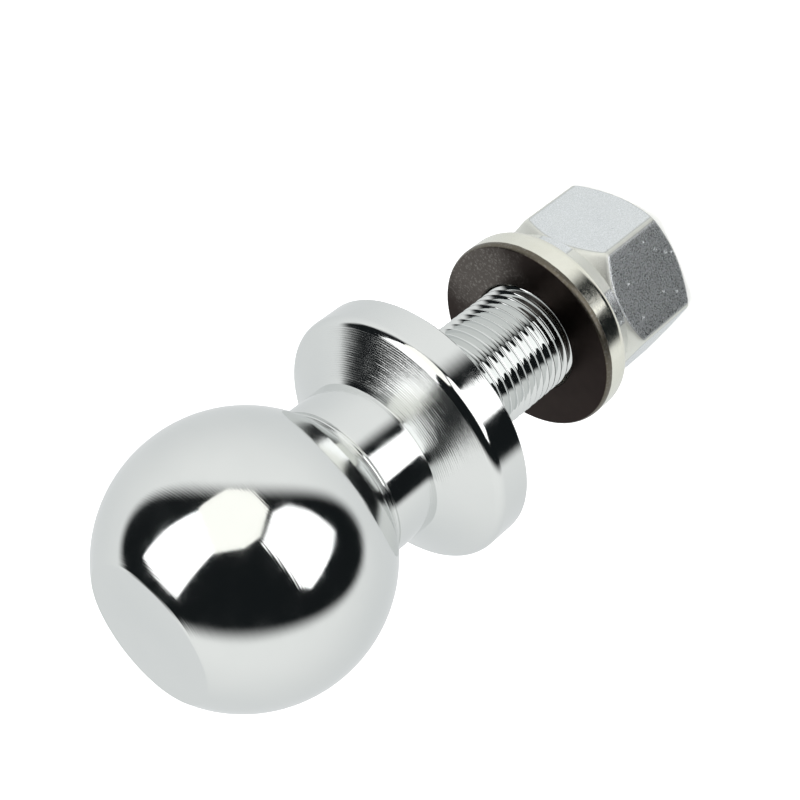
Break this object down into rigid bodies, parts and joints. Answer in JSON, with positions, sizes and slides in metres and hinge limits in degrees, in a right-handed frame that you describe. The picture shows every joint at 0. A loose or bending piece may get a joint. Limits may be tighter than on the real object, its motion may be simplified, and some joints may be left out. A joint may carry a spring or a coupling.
{
  "type": "trailer hitch ball",
  "caption": "Chromed trailer hitch ball on a flanged, threaded shank, with a split lock washer and a hexagon nut that clamp it to a drawbar.",
  "frame": {"origin": "on the ball's axis at the nut's lower face, which is the bottom centre of the object's box", "axes": "+Z along the ball's axis from the nut towards the ball; +X square to one of the nut's flats"},
  "size_m": [0.0588, 0.0588, 0.1439],
  "materials": {
    "chrome": "bright chrome plate over fine lathe marks",
    "washer_zinc": "yellowish zinc plate, satin, browned on the faces",
    "nut_zinc": "matte grained zinc plate with small dents"
  },
  "bodies": {
    "stud": {"hitch_ball": "chrome"},
    "washer": {"lock_washer": "washer_zinc"},
    "nut": {"hex_nut": "nut_zinc"}
  },
  "joints": [
    {"name": "washer_slide", "type": "slide", "parent": "stud", "child": "washer", "axis": [0, 0, 1], "range_m": [-0.0233, 0.0344]},
    {"name": "nut_spin", "type": "hinge", "parent": "washer", "child": "nut", "pos_m": [0, 0, 0.01345], "axis": [0, 0, 1], "range_deg": [-3960, 5850]}
  ],
  "couplings": [
    {"joint": "washer_slide", "follows": "nut_spin", "m_per_rad": 0.00033688}
  ]
}
